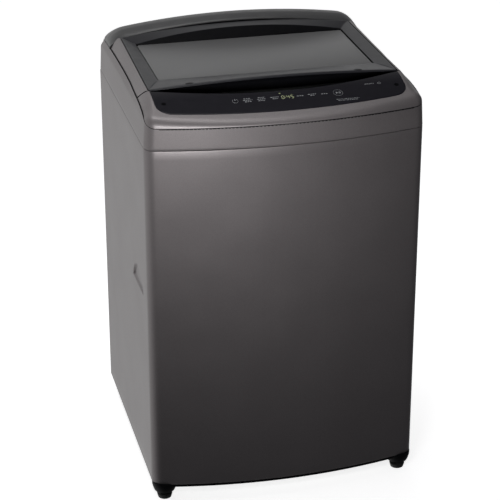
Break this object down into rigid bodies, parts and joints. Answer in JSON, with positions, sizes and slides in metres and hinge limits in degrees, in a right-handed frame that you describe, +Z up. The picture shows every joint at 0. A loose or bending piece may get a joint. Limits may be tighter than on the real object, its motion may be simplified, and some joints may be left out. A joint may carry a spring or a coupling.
{
  "type": "top load washing machine",
  "caption": "Top load washing machine with a bowed steel cabinet, glass lid on rear hinges, front control panel and a sprung tub with basket and pulsator.",
  "frame": {"origin": "on the floor, under the middle of the overall box", "axes": "+X to the right as seen from the front, +Y to the back, +Z up"},
  "size_m": [0.632, 0.67, 1.018],
  "materials": {
    "body_paint": "satin graphite metallic paint on sheet steel",
    "skirt_paint": "moulded plastic painted to match the cabinet",
    "rear_plastic": "dark grey moulded plastic with a fine texture",
    "lid_plastic": "dark grey moulded frame, satin",
    "smoked_glass": "smoked tempered glass",
    "panel_black": "near-black touch panel film",
    "black_plastic": "black moulded plastic",
    "display": "light box with lit figures",
    "white_plastic": "white polypropylene",
    "steel": "stainless steel",
    "zinc": "zinc-plated steel",
    "galvanised": "galvanised sheet steel",
    "alloy": "cast aluminium",
    "rubber": "black rubber",
    "copper": "enamelled copper windings on laminations",
    "chrome": "bright plating",
    "circuit": "printed circuit board",
    "blue_plastic": "blue moulded plastic",
    "red_plastic": "red moulded plastic",
    "brass": "sintered bronze"
  },
  "bodies": {
    "cabinet": {"cabinet_shell": "body_paint", "hand_grips": "body_paint", "rear_panel": "galvanised", "rear_service_cover": "galvanised", "rear_screws": "zinc", "base_frame": "black_plastic", "foot_lock_nuts": "zinc", "rear_feet": "rubber", "corner_brackets": "zinc", "suspension_rods": "zinc", "top_cover": "skirt_paint", "loading_rim": "white_plastic", "control_housing": "skirt_paint", "touch_panel": "panel_black", "display_module": "display", "panel_plugs": "black_plastic", "control_board": "circuit", "handle_recess": "black_plastic", "rear_cover": "rear_plastic", "hinge_brackets": "black_plastic", "lid_damper": "zinc", "lid_lock": "white_plastic", "cold_inlet_valve": "blue_plastic", "hot_inlet_valve": "red_plastic", "water_level_sensor": "white_plastic", "drawer_housing": "white_plastic", "power_cord_gland": "rubber", "drain_pump": "white_plastic", "drain_outlet": "black_plastic", "suspension_springs": "zinc", "drain_bellows": "rubber"},
    "left_foot": {"front_left_foot": "rubber"},
    "right_foot": {"front_right_foot": "rubber"},
    "lid": {"lid_frame": "lid_plastic", "lid_glass": "smoked_glass", "lid_side_trims": "skirt_paint", "lid_hinge_pins": "zinc", "lid_fittings": "black_plastic"},
    "lock_bolt": {"lock_bolt": "red_plastic"},
    "drawer": {"detergent_drawer": "white_plastic"},
    "tub": {"suspension_caps": "white_plastic", "outer_tub": "white_plastic", "tub_cover_ring": "white_plastic", "tub_drain_port": "rubber", "bearing_housing": "alloy", "drum_bearings": "zinc", "shaft_seal": "rubber", "stator": "copper"},
    "clutch": {"clutch_sleeve": "brass"},
    "basket": {"basket": "steel", "basket_base": "steel", "basket_hub": "alloy", "balance_ring": "white_plastic", "lint_filters": "white_plastic", "spin_shaft": "zinc"},
    "pulsator": {"pulsator": "white_plastic", "pulsator_cap": "chrome", "wash_shaft": "zinc", "rotor": "zinc", "rotor_bolt": "zinc"}
  },
  "joints": [
    {"name": "lid_hinge", "type": "hinge", "parent": "cabinet", "child": "lid", "pos_m": [0, 0.1515, 0.967], "axis": [-1, 0, 0], "range_deg": [0, 80]},
    {"name": "lock_slide", "type": "slide", "parent": "cabinet", "child": "lock_bolt", "axis": [-1, 0, 0], "range_m": [0, 0.018]},
    {"name": "drawer_slide", "type": "slide", "parent": "cabinet", "child": "drawer", "axis": [0, -1, 0], "range_m": [0, 0.09]},
    {"name": "left_foot_turn", "type": "hinge", "parent": "cabinet", "child": "left_foot", "pos_m": [-0.286, -0.277, 0.04], "axis": [0, 0, 1], "range_deg": [-720, 720]},
    {"name": "right_foot_turn", "type": "hinge", "parent": "cabinet", "child": "right_foot", "pos_m": [0.286, -0.277, 0.04], "axis": [0, 0, 1], "range_deg": [-720, 720]},
    {"name": "tub_float", "type": "slide", "parent": "cabinet", "child": "tub", "axis": [0, 0, 1], "range_m": [-0.035, 0], "stiffness_N_per_m": 12000, "springref_m": 0.025, "deforming": ["suspension_springs", "drain_bellows"]},
    {"name": "basket_spin", "type": "hinge", "parent": "tub", "child": "basket", "pos_m": [0, -0.0325, 0.3], "axis": [0, 0, 1], "continuous": true},
    {"name": "pulsator_turn", "type": "hinge", "parent": "tub", "child": "pulsator", "pos_m": [0, -0.0325, 0.2], "axis": [0, 0, 1], "continuous": true},
    {"name": "clutch_shift", "type": "slide", "parent": "tub", "child": "clutch", "axis": [0, 0, 1], "range_m": [0, 0.006]}
  ]
}
